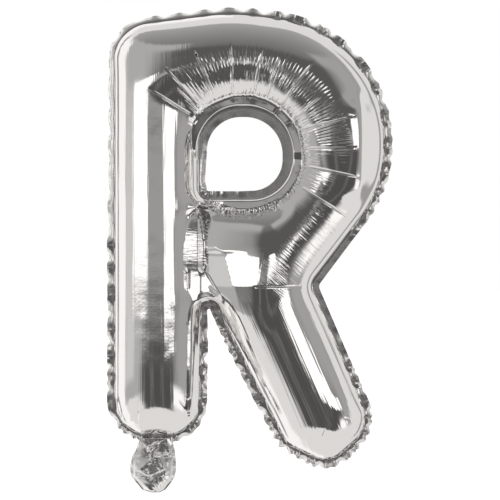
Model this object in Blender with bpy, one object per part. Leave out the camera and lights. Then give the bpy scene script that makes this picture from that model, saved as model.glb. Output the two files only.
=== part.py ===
"""Silver foil balloon in the shape of a capital letter, filled with air.

Two formed sheets of metallised film make the front and the back. They meet on
the seam plane Y = 0, where a flat welded margin runs all round the outside and
another lines the counter, the round hole in the letter's bowl. The fill tail
hangs from the margin under the stem's foot and folds about its root.

X is to the right, Z is up and the letter's front faces -Y. The origin is the
middle of the letter in its seam plane. Sizes are metres.
"""
import math

import bmesh
import bpy
import numpy as np
from mathutils import Vector
from mathutils.geometry import delaunay_2d_cdt

MM = 0.001

# Film
WALL = 0.9 * MM                # stand-in wall of the film
GAP = 0.3 * MM                 # between pieces that touch
MARGIN_THICK = 1.2 * MM        # both sheets welded flat
OUTER_MARGIN = 4.3 * MM        # width of the margin round the outside
COUNTER_MARGIN = 6.6 * MM      # width of the margin inside the counter

# Letter, in the seam plane
STEM_LEFT = -107.0 * MM
STEM_RIGHT = -39.8 * MM
FOOT_BOTTOM = -145.5 * MM
STEM_TOP = 172.5 * MM
CROWN_TOP = 184.0 * MM
BOWL_RIGHT = 104.5 * MM
TUBE_RADIUS = 34.5 * MM

# Where the film swells less or more than a plain tube: X, Z, reach, gain
FULLNESS = [
    (14.0 * MM, 0.0 * MM, 30.0 * MM, -0.32),        # crest of the bowl's arm
    (-73.0 * MM, -128.0 * MM, 20.0 * MM, 0.4),      # stem's foot
    (70.0 * MM, -148.0 * MM, 20.0 * MM, 0.4),       # leg's foot
]

# The stem stays a straight round tube past the other strokes
STEM_CENTRE = -73.4 * MM
STEM_RADIUS = 33.6 * MM
STEM_SIDES = (-58.0 * MM, -50.0 * MM)     # the pull to the tube fades out between these
STEM_ENDS = (-55.0 * MM, -35.0 * MM, 95.0 * MM, 115.0 * MM)
STEM_PULL = 0.05 / MM ** 2

# Seam corners, clockwise from the top left: X, Z and radius of the round
OUTER_CORNERS = [
    (STEM_LEFT, STEM_TOP, 27 * MM),                 # top of the stem
    (-16 * MM, CROWN_TOP, 150 * MM),                # crown of the bowl
    (BOWL_RIGHT, 169.0 * MM, 97 * MM),              # bowl, upper right
    (BOWL_RIGHT, 48.5 * MM, 93 * MM),               # bowl, lower right
    (47.2 * MM, -28.0 * MM, 9.5 * MM),              # waist of bowl and leg
    (94.5 * MM, -138.0 * MM, 26 * MM),              # leg's foot, right
    (61.5 * MM, -168.5 * MM, 22 * MM),              # leg's foot, bottom
    (27.3 * MM, -152.5 * MM, 14 * MM),              # leg's foot, left
    (-37.8 * MM, -26.0 * MM, 5.5 * MM),             # crotch of stem and leg
    (STEM_RIGHT, FOOT_BOTTOM, 21 * MM),             # stem's foot, right
    (STEM_LEFT, FOOT_BOTTOM, 22 * MM),              # stem's foot, left
]
COUNTER_CORNERS = [
    (-41.0 * MM, 109.5 * MM, 33 * MM),              # upper left
    (31.2 * MM, 109.5 * MM, 36 * MM),               # upper right
    (31.2 * MM, 38.8 * MM, 31 * MM),                # lower right
    (-40.6 * MM, 38.8 * MM, 8 * MM),                # lower left, nearly sharp
]

# Lens-shaped pleat that the film pulls between the counter and the crotch
PLEAT_X = -41.5 * MM
PLEAT_Z = -3.0 * MM            # its widest point
PLEAT_UP = 34.0 * MM           # from there to its upper tip
PLEAT_DOWN = 17.0 * MM
PLEAT_LEFT = 11.0 * MM         # half widths
PLEAT_RIGHT = 6.0 * MM
PLEAT_DEEP = 21.0 * MM         # half depth at the fold between its facets
PLEAT_TIP = 10.6 * MM          # half depth at its tips
PLEAT_FACET = 0.42             # slope of its right facet
PLEAT_ROWS = 9
PLEAT_COLUMNS = (-20.0 * MM, -11.0 * MM, -5.5 * MM, 0.0 * MM, 6.0 * MM, 14.0 * MM)
COLUMN_CLEAR = 3.5 * MM        # the grid stays this far from those columns

# Flank from the pleat up to the crest of the bowl's arm
FLANK_STEEP = 0.62             # first slope, over FLANK_STEEP_WIDTH and more below the knee
FLANK_STEEP_WIDTH = 8.0 * MM
FLANK_WIDENING = 0.35
FLANK_RISE = 0.30              # slope beyond it
FLANK_KNEE = -1.0 * MM         # above this height the flank faces up
FLANK_UP = 0.2
FLANK_DOWN = 0.06
FLANK_CREST = (0.0 * MM, 20.0 * MM)
FLANK_ENDS = (-36.0 * MM, -20.0 * MM, 24.0 * MM, 36.0 * MM)
FLANK_CLEAR = (6.0 * MM, 15.0 * MM)    # distance to a seam over which it comes in
FLANK_TOP = 40.0 * MM
VALLEY_CLEAR = (4.0 * MM, 11.0 * MM)   # distance to a seam over which pleat and flank come in
TUBE_SIDE = (-62.0 * MM, -56.0 * MM)   # left of the pleat the film joins the stem's tube
TUBE_ENDS = (-45.0 * MM, -25.0 * MM, 22.0 * MM, 34.0 * MM)

# Flat ring round the counter: width at each of the counter's corners and straights,
# round of its inner edge
RING_WIDTHS = [5.0 * MM, 12.0 * MM, 12.0 * MM, 11.5 * MM, 11.0 * MM, 10.0 * MM, 5.0 * MM, 0.1 * MM, 5.0 * MM]
RING_EDGE = 1.8 * MM

# Mesh
ROW_ANGLES = (0.0, 14.0, 28.0, 43.0)   # rows of points that leave the seam
EDGE_STEP = 8.0 * MM
ARC_STEP = math.radians(16.0)
GRID_STEP = 9.0 * MM
GRID_CLEAR = 0.55              # of a grid step: the grid stays this far from the rows
MERGE = 1e-7                   # metres; the triangulation joins points closer than this
SOLVER_STEPS = 4000
SOLVER_GOAL = 1e-24            # what is left of the membrane's load when it is solved
SHARP_ANGLE = math.radians(40)

# Fill tail: distance below the hinge, half width, half depth of the outside
TAIL_CENTRE_X = -76.0 * MM
HINGE_DROP = 1.8 * MM          # hinge line below the margin's lower edge
TAIL_SECTIONS = [
    (-1.0 * MM, 12.8 * MM, 1.10 * MM),
    (1.5 * MM, 13.2 * MM, 1.30 * MM),
    (5.0 * MM, 14.4 * MM, 2.40 * MM),
    (11.0 * MM, 16.4 * MM, 5.20 * MM),
    (19.0 * MM, 17.8 * MM, 7.20 * MM),
    (27.0 * MM, 18.0 * MM, 7.60 * MM),
    (33.0 * MM, 17.0 * MM, 6.60 * MM),
    (37.5 * MM, 14.0 * MM, 5.60 * MM),
    (39.5 * MM, 10.0 * MM, 4.40 * MM),
]
TAIL_MARGIN_SHARE = 0.16       # flat welded share of each half width
TAIL_COLUMNS = 14
VALVE_THICK = 0.6 * MM
VALVE_HALF_WIDTH = 8.5 * MM
VALVE_TOP = 4.5 * MM           # below the hinge
VALVE_BOTTOM = 35.0 * MM
VALVE_STEPS = 6

# Finishes: base colour, metallic, roughness
FOIL = ((0.80, 0.79, 0.78, 1.0), 1.0, 0.07)
WELD = ((0.62, 0.61, 0.60, 1.0), 1.0, 0.16)
VALVE_FILM = ((0.86, 0.88, 0.90, 1.0), 0.0, 0.25)


def make_material(name, finish):
    colour, metallic, roughness = finish
    material = bpy.data.materials.new(name)
    material.use_nodes = True
    shader = material.node_tree.nodes["Principled BSDF"]
    shader.inputs["Base Color"].default_value = colour
    shader.inputs["Metallic"].default_value = metallic
    shader.inputs["Roughness"].default_value = roughness
    return material


def make_object(name, verts, faces, material):
    """One named object with its origin at the world's, faces turned outwards."""
    mesh = bpy.data.meshes.new(name)
    mesh.from_pydata([tuple(v) for v in verts], [], faces)
    work = bmesh.new()
    work.from_mesh(mesh)
    bmesh.ops.recalc_face_normals(work, faces=work.faces)
    work.to_mesh(mesh)
    work.free()
    mesh.shade_smooth()
    mesh.set_sharp_from_angle(angle=SHARP_ANGLE)
    mesh.materials.append(material)
    item = bpy.data.objects.new(name, mesh)
    bpy.context.scene.collection.objects.link(item)
    return item


def rounded_outline(corners):
    """Points, outward normals and places of a clockwise polygon with rounded corners.

    A place is the corner's number, rises by a half over its round and by another
    half along the straight that follows.
    """
    points, normals, places = [], [], []
    count = len(corners)
    ends = []
    for i, (x, z, radius) in enumerate(corners):
        here = np.array((x, z))
        back = np.array(corners[i - 1][:2]) - here
        ahead = np.array(corners[(i + 1) % count][:2]) - here
        back /= np.linalg.norm(back)
        ahead /= np.linalg.norm(ahead)
        half = math.acos(np.clip(back @ ahead, -1.0, 1.0)) / 2
        middle = (back + ahead) / np.linalg.norm(back + ahead)
        centre = here + middle * radius / math.sin(half)
        reach = radius / math.tan(half)
        turn = back[0] * ahead[1] - back[1] * ahead[0]
        convex = turn > 0
        ends.append((here + back * reach, here + ahead * reach, centre, radius, convex))
    for i, (start, end, centre, radius, convex) in enumerate(ends):
        sign = 1.0 if convex else -1.0
        first = math.atan2(*(start - centre)[::-1])
        last = math.atan2(*(end - centre)[::-1])
        sweep = (last - first + math.pi) % (2 * math.pi) - math.pi
        steps = max(2, math.ceil(abs(sweep) / ARC_STEP), math.ceil(abs(sweep) * radius / EDGE_STEP))
        for k in range(steps + 1):
            angle = first + sweep * k / steps
            direction = np.array((math.cos(angle), math.sin(angle)))
            points.append(centre + direction * radius)
            normals.append(direction * sign)
            places.append(i + 0.5 * k / steps)
        following = ends[(i + 1) % count][0]
        run = following - end
        length = np.linalg.norm(run)
        normal = np.array((-run[1], run[0])) / length
        steps = math.ceil(length / EDGE_STEP)
        for k in range(1, steps):
            points.append(end + run * k / steps)
            normals.append(normal)
            places.append(i + 0.5 + 0.5 * k / steps)
    return np.array(points), np.array(normals), np.array(places)


def inside(points, polygon):
    """Which points lie inside a closed polygon."""
    hit = np.zeros(len(points), bool)
    for a, b in zip(polygon, np.roll(polygon, -1, axis=0)):
        crosses = (a[1] > points[:, 1]) != (b[1] > points[:, 1])
        rise = b[1] - a[1]
        if rise == 0:
            continue
        at = a[0] + (points[:, 1] - a[1]) * (b[0] - a[0]) / rise
        hit ^= crosses & (points[:, 0] < at)
    return hit


def distance_to(points, a, b):
    """Distance from each point to the segment from a to b."""
    a, b = np.array(a), np.array(b)
    run = b - a
    share = np.clip(((points - a) @ run) / (run @ run), 0, 1)
    return np.linalg.norm(points - (a + share[:, None] * run), axis=1)


def distance_to_loop(points, loop):
    best = np.full(len(points), np.inf)
    for a, b in zip(loop, np.roll(loop, -1, axis=0)):
        best = np.minimum(best, distance_to(points, a, b))
    return best


def letter_mesh(outer, counter):
    """Flat triangles of the letter: rows that follow both seams, a grid inside them.

    Each seam is (points, normals out of the film, places). Returns the points,
    the triangles, and the number of points on each seam.
    """
    offsets = [TUBE_RADIUS * (1 - math.cos(math.radians(a))) for a in ROW_ANGLES]
    points, faces, inner_loops = [], [], []
    for seam_points, seam_normals, _ in (outer, counter):
        count = len(seam_points)
        base = len(points)
        for offset in offsets:
            points.extend(seam_points - seam_normals * offset)
        for row in range(len(offsets) - 1):
            for k in range(count):
                a = base + row * count + k
                b = base + row * count + (k + 1) % count
                faces += [(a, b, b + count), (a, b + count, a + count)]
        first = base + (len(offsets) - 1) * count
        inner_loops.append(list(range(first, first + count)))
    points = np.array(points)
    outer_loop = points[inner_loops[0]]
    counter_loop = points[inner_loops[1]]

    low, high = outer_loop.min(axis=0), outer_loop.max(axis=0)
    row_step = GRID_STEP * math.sqrt(3) / 2
    grid = []
    for j in range(int((high[1] - low[1]) / row_step) + 1):
        shift = GRID_STEP / 2 * (j % 2)
        for i in range(int((high[0] - low[0]) / GRID_STEP) + 1):
            grid.append((low[0] + shift + i * GRID_STEP, low[1] + j * row_step))
    grid = np.array(grid)
    pleat_top, pleat_bottom = PLEAT_Z + PLEAT_UP, PLEAT_Z - PLEAT_DOWN
    columns = []
    for side in PLEAT_COLUMNS:
        for k in range(PLEAT_ROWS):
            columns.append((PLEAT_X + side, pleat_bottom + (pleat_top - pleat_bottom) * k / (PLEAT_ROWS - 1)))
    first, last = PLEAT_X + PLEAT_COLUMNS[0] - COLUMN_CLEAR, PLEAT_X + PLEAT_COLUMNS[-1] + COLUMN_CLEAR
    across = (grid[:, 0] > first) & (grid[:, 0] < last)
    along = (grid[:, 1] > pleat_bottom - COLUMN_CLEAR) & (grid[:, 1] < pleat_top + COLUMN_CLEAR)
    grid = np.vstack([np.array(columns), grid[~(across & along)]])
    keep = inside(grid, outer_loop) & ~inside(grid, counter_loop)
    keep &= distance_to_loop(grid, outer_loop) > GRID_STEP * GRID_CLEAR
    keep &= distance_to_loop(grid, counter_loop) > GRID_STEP * GRID_CLEAR
    grid = grid[keep]

    ring = [i for loop in inner_loops for i in loop]
    cloud = [Vector(points[i]) for i in ring] + [Vector(p) for p in grid]
    edges, start = [], 0
    for loop in inner_loops:
        count = len(loop)
        edges += [(start + k, start + (k + 1) % count) for k in range(count)]
        start += count
    inside_with_holes = 4
    verts, _, cells, _, _, _ = delaunay_2d_cdt(cloud, edges, [], inside_with_holes, MERGE)
    if len(verts) != len(cloud):
        raise ValueError("the grid added points on the seam rows")
    ids = ring + list(range(len(points), len(points) + len(grid)))
    points = np.vstack([points, grid])
    across_hole = set(inner_loops[1])
    for cell in cells:
        face = tuple(ids[i] for i in cell)
        if not across_hole.issuperset(face):
            faces.append(face)
    return points, faces, (len(outer[0]), len(counter[0]))


def smooth_step(value, low, high):
    share = np.clip((value - low) / (high - low), 0, 1)
    return share * share * (3 - 2 * share)


def inflate(points, faces, fixed):
    """Half depth of the film at each point.

    A membrane under even pressure is solved over the flat triangles. Its root
    is the depth, which makes a straight tube exactly round. The stem is drawn
    to its own tube.
    """
    tri = np.array(faces)
    a, b, c = (points[tri[:, k]] for k in range(3))
    area2 = np.abs((b[:, 0] - a[:, 0]) * (c[:, 1] - a[:, 1]) - (b[:, 1] - a[:, 1]) * (c[:, 0] - a[:, 0]))
    rows, cols, vals = [], [], []
    for k in range(3):
        i, j, o = tri[:, k], tri[:, (k + 1) % 3], tri[:, (k + 2) % 3]
        u, v = points[i] - points[o], points[j] - points[o]
        weight = 0.5 * (u * v).sum(axis=1) / area2
        rows += [i, j]
        cols += [j, i]
        vals += [weight, weight]
    rows, cols, vals = (np.concatenate(part) for part in (rows, cols, vals))
    count = len(points)
    share = np.bincount(tri.ravel(), np.repeat(area2 / 6, 3), count)
    load = 2 * share
    for x, z, reach, gain in FULLNESS:
        load *= 1 + gain * np.exp(-((points[:, 0] - x) ** 2 + (points[:, 1] - z) ** 2) / (2 * reach ** 2))
    low_end, low_full, high_full, high_end = STEM_ENDS
    pull = STEM_PULL * share * (1 - smooth_step(points[:, 0], *STEM_SIDES))
    pull *= smooth_step(points[:, 1], low_end, low_full) * (1 - smooth_step(points[:, 1], high_full, high_end))
    load += pull * np.maximum(0, STEM_RADIUS ** 2 - (points[:, 0] - STEM_CENTRE) ** 2)
    free = np.ones(count)
    free[fixed] = 0
    diagonal = np.bincount(rows, vals, count) + pull

    def stiffness(x):
        x = x * free
        return free * (diagonal * x - np.bincount(rows, vals * x[cols], count))

    solution = np.zeros(count)
    rest = free * load
    step = rest / diagonal
    scaled = step.copy()
    energy = rest @ scaled
    for _ in range(SOLVER_STEPS):
        pushed = stiffness(step)
        length = energy / (step @ pushed)
        solution += length * step
        rest -= length * pushed
        scaled = rest / diagonal
        following = rest @ scaled
        if following < SOLVER_GOAL:
            break
        step = scaled + step * following / energy
        energy = following
    return np.sqrt(np.maximum(solution, 0))


def valley_depth(points, natural, to_seam):
    """Half depth with the pleat's two facets, the fold between them and the flank."""
    x, z = points.T
    reach = np.where(z > PLEAT_Z, PLEAT_UP, PLEAT_DOWN)
    spread = np.sqrt(np.clip(1 - ((z - PLEAT_Z) / reach) ** 4, 0, 1))
    left, right = PLEAT_LEFT * spread + 0.01 * MM, PLEAT_RIGHT * spread
    rim = np.sqrt(STEM_RADIUS ** 2 - (PLEAT_X - left - STEM_CENTRE) ** 2)
    fold = PLEAT_TIP + (PLEAT_DEEP - PLEAT_TIP) * spread
    away = x - PLEAT_X
    past = away - right
    below = np.maximum(0, FLANK_KNEE - z)
    above = np.maximum(0, z - FLANK_KNEE)
    foot = np.where(z < PLEAT_Z, PLEAT_DEEP + PLEAT_FACET * PLEAT_RIGHT, fold + PLEAT_FACET * right)
    slope = foot + FLANK_RISE * past - FLANK_DOWN * below - FLANK_UP * above
    slope += (FLANK_STEEP - FLANK_RISE) * np.minimum(past, FLANK_STEEP_WIDTH + FLANK_WIDENING * below)

    low_end, low_full, high_full, high_end = FLANK_ENDS
    weight = smooth_step(z, low_end, low_full) * (1 - smooth_step(z, high_full, high_end))
    weight *= smooth_step(to_seam, *FLANK_CLEAR) * (1 - smooth_step(x, *FLANK_CREST))
    raised = natural + np.maximum(0, slope - natural) * weight
    flank = np.maximum(0, np.minimum(raised, slope))
    facets = np.where(away < 0, rim + (fold - rim) * (1 + away / left), fold + PLEAT_FACET * away)
    valley = np.where(away < right, np.minimum(natural, facets), np.where(z < FLANK_TOP, flank, natural))
    low_end, low_full, high_full, high_end = TUBE_ENDS
    beside = smooth_step(z, low_end, low_full) * (1 - smooth_step(z, high_full, high_end))
    beside *= smooth_step(x, *TUBE_SIDE)
    tube = np.sqrt(np.maximum(0, STEM_RADIUS ** 2 - (x - STEM_CENTRE) ** 2))
    shaped = np.where(away < -left, natural + (tube - natural) * beside, valley)
    return natural + (shaped - natural) * smooth_step(to_seam, *VALLEY_CLEAR)


def ring_depth(points, natural, counter):
    """Half depth with the flat ring round the counter."""
    seam, _, places = counter
    gaps = np.linalg.norm(points[:, None] - seam[None], axis=2)
    to_counter = gaps.min(axis=1)
    width = np.interp(places[gaps.argmin(axis=1)], np.arange(len(RING_WIDTHS)) / 2, RING_WIDTHS)
    level = np.sqrt(np.maximum(0, 2 * TUBE_RADIUS * width - width ** 2))
    edge = np.clip(1 - to_counter / RING_EDGE, 0, 1)
    ring = np.maximum(natural, level * np.sqrt(1 - edge ** 2))
    return np.where(to_counter < width, ring, natural)


def build_films(outer, counter):
    points, faces, counts = letter_mesh(outer, counter)
    rows = len(ROW_ANGLES)
    second = counts[0] * rows
    fixed = list(range(counts[0])) + list(range(second, second + counts[1]))
    depth = inflate(points, faces, fixed)
    to_seam = np.minimum(distance_to_loop(points, outer[0]), distance_to_loop(points, counter[0]))
    depth = valley_depth(points, depth, to_seam)
    depth = ring_depth(points, depth, counter)
    depth[fixed] = 0

    outside = np.column_stack([points[:, 0], -depth - GAP / 2, points[:, 1]])
    tri = np.array(faces)
    across = np.cross(outside[tri[:, 1]] - outside[tri[:, 0]], outside[tri[:, 2]] - outside[tri[:, 0]])
    across[across[:, 1] > 0] *= -1
    normal = np.zeros_like(outside)
    for k in range(3):
        np.add.at(normal, tri[:, k], across)
    seam_normals = np.vstack([outer[1], counter[1]])
    normal[fixed] = np.column_stack([seam_normals[:, 0], np.zeros(len(fixed)), seam_normals[:, 1]])
    normal /= np.linalg.norm(normal, axis=1)[:, None]
    lining = outside - normal * WALL
    lining[:, 1] = np.minimum(lining[:, 1], -GAP / 2)

    count = len(points)
    shell = [tuple(f) for f in faces] + [tuple(i + count for i in reversed(f)) for f in faces]
    for start, length in ((0, counts[0]), (second, counts[1])):
        for k in range(length):
            a, b = start + k, start + (k + 1) % length
            shell += [(a, b, b + count), (a, b + count, a + count)]
    front = np.vstack([outside, lining])
    back = front * (1, -1, 1)
    foil = make_material("foil", FOIL)
    make_object("front_film", front, shell, foil)
    make_object("back_film", back, shell, foil)


def build_margin(name, inner, outer, material):
    """Flat closed band between two loops of the same number of points."""
    count = len(inner)
    half = MARGIN_THICK / 2
    verts = []
    for y in (-half, half):
        for loop in (inner, outer):
            verts += [(p[0], y, p[1]) for p in loop]
    faces = []
    for k in range(count):
        n = (k + 1) % count
        faces.append((k, n, n + count, k + count))
        faces.append((k + 2 * count, k + 3 * count, n + 3 * count, n + 2 * count))
        faces.append((k, k + 2 * count, n + 2 * count, n))
        faces.append((k + count, n + count, n + 3 * count, k + 3 * count))
    return make_object(name, verts, faces, material)


def build_tail_film(name, side, hinge_z, material):
    """One sheet of the fill tail: welded flat along both edges, bulged between them."""
    outside, lining = [], []
    for drop, half_width, half_depth in TAIL_SECTIONS:
        for k in range(TAIL_COLUMNS + 1):
            across = 2 * k / TAIL_COLUMNS - 1
            rise = max(0.0, 1 - (abs(across) / (1 - TAIL_MARGIN_SHARE)) ** 2)
            flat = GAP / 2 + WALL
            crown = max(half_depth, flat)
            y = flat + (crown - flat) * math.sqrt(rise)
            x = TAIL_CENTRE_X + across * half_width
            outside.append((x, side * y, hinge_z - drop))
            lining.append((x, side * (y - WALL), hinge_z - drop))
    columns = TAIL_COLUMNS + 1
    count = len(outside)
    faces = []
    rows = len(TAIL_SECTIONS)
    for row in range(rows - 1):
        for k in range(TAIL_COLUMNS):
            a = row * columns + k
            faces.append((a, a + 1, a + columns + 1, a + columns))
            faces.append(tuple(i + count for i in (a, a + columns, a + columns + 1, a + 1)))
    rim = [k for k in range(columns)]
    rim += [row * columns + TAIL_COLUMNS for row in range(1, rows)]
    rim += [(rows - 1) * columns + k for k in range(TAIL_COLUMNS - 1, -1, -1)]
    rim += [row * columns for row in range(rows - 2, 0, -1)]
    for k, a in enumerate(rim):
        b = rim[(k + 1) % len(rim)]
        faces.append((a, a + count, b + count, b))
    return make_object(name, outside + lining, faces, material)


def build_valve(hinge_z, material):
    """Flat tongue of clear film that lies between the tail's sheets."""
    verts, faces = [], []
    half = VALVE_THICK / 2
    for k in range(VALVE_STEPS + 1):
        z = hinge_z - VALVE_TOP - (VALVE_BOTTOM - VALVE_TOP) * k / VALVE_STEPS
        for x, y in ((-1, -1), (1, -1), (1, 1), (-1, 1)):
            verts.append((TAIL_CENTRE_X + x * VALVE_HALF_WIDTH, y * half, z))
    for k in range(VALVE_STEPS):
        for s in range(4):
            a, b = 4 * k + s, 4 * k + (s + 1) % 4
            faces.append((a, b, b + 4, a + 4))
    last = 4 * VALVE_STEPS
    faces += [(3, 2, 1, 0), (last, last + 1, last + 2, last + 3)]
    return make_object("valve_sleeve", verts, faces, material)


for item in list(bpy.data.objects):
    bpy.data.objects.remove(item)

outer_points, outer_normals, outer_places = rounded_outline(OUTER_CORNERS)
counter_points, counter_out, counter_places = rounded_outline(COUNTER_CORNERS)
counter_normals = -counter_out            # out of the film is into the hole
build_films((outer_points, outer_normals, outer_places), (counter_points, counter_normals, counter_places))

weld = make_material("welded_foil", WELD)
build_margin("outer_seam", outer_points + outer_normals * GAP,
             outer_points + outer_normals * OUTER_MARGIN, weld)
build_margin("counter_seam", counter_points + counter_normals * COUNTER_MARGIN,
             counter_points + counter_normals * GAP, weld)

tail_hinge_z = FOOT_BOTTOM - OUTER_MARGIN - HINGE_DROP
tail_foil = make_material("tail_foil", FOIL)
tail_objects = [
    build_tail_film("tail_front_film", -1, tail_hinge_z, tail_foil),
    build_tail_film("tail_back_film", 1, tail_hinge_z, tail_foil),
    build_valve(tail_hinge_z, make_material("valve_film", VALVE_FILM)),
]
tail_hinge = bpy.data.objects.new("fill_tail_hinge", None)
tail_hinge.location = (TAIL_CENTRE_X, 0, tail_hinge_z)
bpy.context.scene.collection.objects.link(tail_hinge)
for item in tail_objects:
    item.data.transform(tail_hinge.matrix_basis.inverted())
    item.parent = tail_hinge
bpy.context.view_layer.update()
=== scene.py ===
import math

import bpy
import numpy as np
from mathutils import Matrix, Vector
from mathutils.geometry import delaunay_2d_cdt


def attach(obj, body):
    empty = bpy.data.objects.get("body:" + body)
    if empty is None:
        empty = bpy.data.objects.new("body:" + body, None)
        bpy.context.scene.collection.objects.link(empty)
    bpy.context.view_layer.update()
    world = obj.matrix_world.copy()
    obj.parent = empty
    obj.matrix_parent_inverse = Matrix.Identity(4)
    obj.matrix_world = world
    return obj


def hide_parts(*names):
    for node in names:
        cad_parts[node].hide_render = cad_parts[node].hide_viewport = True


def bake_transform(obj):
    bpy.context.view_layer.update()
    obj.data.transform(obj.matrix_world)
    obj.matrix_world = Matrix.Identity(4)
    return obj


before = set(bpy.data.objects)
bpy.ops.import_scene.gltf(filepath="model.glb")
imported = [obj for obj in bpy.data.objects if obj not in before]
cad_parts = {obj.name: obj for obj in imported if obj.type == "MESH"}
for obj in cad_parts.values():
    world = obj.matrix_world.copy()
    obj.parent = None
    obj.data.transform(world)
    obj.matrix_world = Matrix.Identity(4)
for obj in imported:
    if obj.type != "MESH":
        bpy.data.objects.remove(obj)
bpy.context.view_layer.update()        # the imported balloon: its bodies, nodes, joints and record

mm = 0.001
scene = bpy.context.scene
print("frame loaded:", ", ".join(sorted(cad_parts)))


# Shader nodes as Python expressions

class Signal:            # one socket; operators on it add Math nodes
    def __init__(self, graph, socket):
        self.graph = graph
        self.socket = socket

    def maths(self, operation, *others):
        sockets = dict(enumerate((self,) + others))
        return self.graph.add("ShaderNodeMath", {"operation": operation}, sockets)

    def __add__(self, other):
        return self.maths("ADD", other)

    def __sub__(self, other):
        return self.maths("SUBTRACT", other)

    def __rsub__(self, other):
        return self.graph.add("ShaderNodeMath", {"operation": "SUBTRACT"}, {0: other, 1: self})

    def __mul__(self, other):
        return self.maths("MULTIPLY", other)

    def __truediv__(self, other):
        return self.maths("DIVIDE", other)

    __radd__ = __add__
    __rmul__ = __mul__

    def output(self, name):      # another output of the same node
        return Signal(self.graph, self.socket.node.outputs[name])

    def ramp(self, low, high):   # 0 up to low, 1 from high on, smooth between; high may be below low
        if low > high:
            return 1 - self.ramp(high, low)
        settings = {"interpolation_type": "SMOOTHSTEP"}
        sockets = {"Value": self, "From Min": low, "From Max": high}
        return self.graph.add("ShaderNodeMapRange", settings, sockets)

    def band(self, low, high, soft):     # 1 between low and high, with soft edges
        return self.ramp(low - soft, low + soft) * self.ramp(high + soft, high - soft)


class Graph:             # the node tree of a material or of the world
    def __init__(self, owner):
        owner.use_nodes = True
        self.tree = owner.node_tree
        self.tree.nodes.clear()

    def add(self, kind, settings=None, sockets=None):
        node = self.tree.nodes.new(kind)
        for name, value in (settings or {}).items():
            setattr(node, name, value)
        for name, value in (sockets or {}).items():
            socket = node.inputs[name] if isinstance(name, int) else self.named(node, name)
            if isinstance(value, Signal):
                self.tree.links.new(value.socket, socket)
            else:
                socket.default_value = value
        shown = [s for s in node.outputs if s.enabled]
        return Signal(self, shown[0]) if shown else None

    def named(self, node, name):
        return next(s for s in node.inputs if s.enabled and s.name == name)


def surface(graph, sockets, height=None):
    # Shader and output of a material; height, in mm, is pressed in as bump
    if height is not None:
        bump = {"Strength": 1.0, "Distance": mm, "Height": height}
        sockets["Normal"] = graph.add("ShaderNodeBump", None, bump)
    shader = graph.add("ShaderNodeBsdfPrincipled", None, sockets)
    graph.add("ShaderNodeOutputMaterial", None, {"Surface": shader})


# Camera, floor and light

studio = {
    "fieldWidth": 390 * mm,      # seen at the seam plane
    "sensorWidth": 36.0,
    "distance": 2.0,
    "aim": (-0.8 * mm, 0.0, -0.8 * mm),
    "floorHeight": -0.27,
    "floorSize": 30.0,
    "warmth": (1.0, 0.985, 0.968),
    "walls": 0.76,               # brightness where no panel hangs
    "ceiling": (26, 104, 2.0),   # degrees up from the camera: its start, end and softness
    "ceilingDarker": 0.66,       # than the walls, at its start
    "ceilingLighter": (0.22, 60),    # what it gains from there, and over how many degrees
}


def buildCamera():
    data = bpy.data.cameras.new("camera")
    data.sensor_width = studio["sensorWidth"]
    data.lens = data.sensor_width * studio["distance"] / studio["fieldWidth"]
    camera = bpy.data.objects.new("camera", data)
    x, y, z = studio["aim"]
    camera.location = (x, y - studio["distance"], z)
    camera.rotation_euler = (math.pi / 2, 0, 0)
    scene.collection.objects.link(camera)
    scene.camera = camera


# What the foil mirrors, by direction in degrees, later panels over earlier ones:
# azimuth from the camera's side (right is positive), elevation, how soft those
# edges are, brightness
studioPanels = [
    ((-182, -88), (-60, 45), (3.0, 8.0), 1.0),           # bright wall behind, on the left
    ((146, 182), (-40, 7), (7.0, 4.0), 0.10),            # dark opening, straight behind
    ((-182, -146), (-40, 7), (7.0, 4.0), 0.10),          # its left half
    ((-129, -121), (-34, 45), (2.0, 6.0), 0.30),         # posts of the side walls
    ((119, 127), (-34, 45), (2.0, 6.0), 0.34),
    ((-90, -16), (-25, 52), (4.0, 3.0), 0.43),           # pale wall on the left
    ((-88, -62), (-9, 4), (3.0, 4.0), 0.62),             # its lighter foot
    ((40, 90), (-25, 52), (5.0, 3.0), 0.37),             # grey wall on the right
    ((-28, 47), (-12, 40), (19.0, 5.0), 0.10),           # dark side, round the camera
    ((-40, 46), (-45, -2.4), (12.0, 1.0), 0.08),         # dark floor below the camera
    ((-15, -9), (-45, -3.6), (3.0, 1.0), 0.15),          # lighter streaks on it
    ((13, 18), (-45, -3.6), (3.0, 1.0), 0.14),
    ((44, 76), (-36, -17), (6.0, 4.0), 1.05),            # floor lit by the right softbox
    ((-26, 22), (-1.3, 3.5), (5.0, 1.4), 0.34),          # far grey wall, seen over the camera
    ((-64, -23.5), (-0.9, 6.5), (1.5, 0.5), 1.25),       # left softbox
    ((20, 49.5), (-2.1, 13.0), (1.2, 0.3), 1.25),        # right softbox
]


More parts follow.
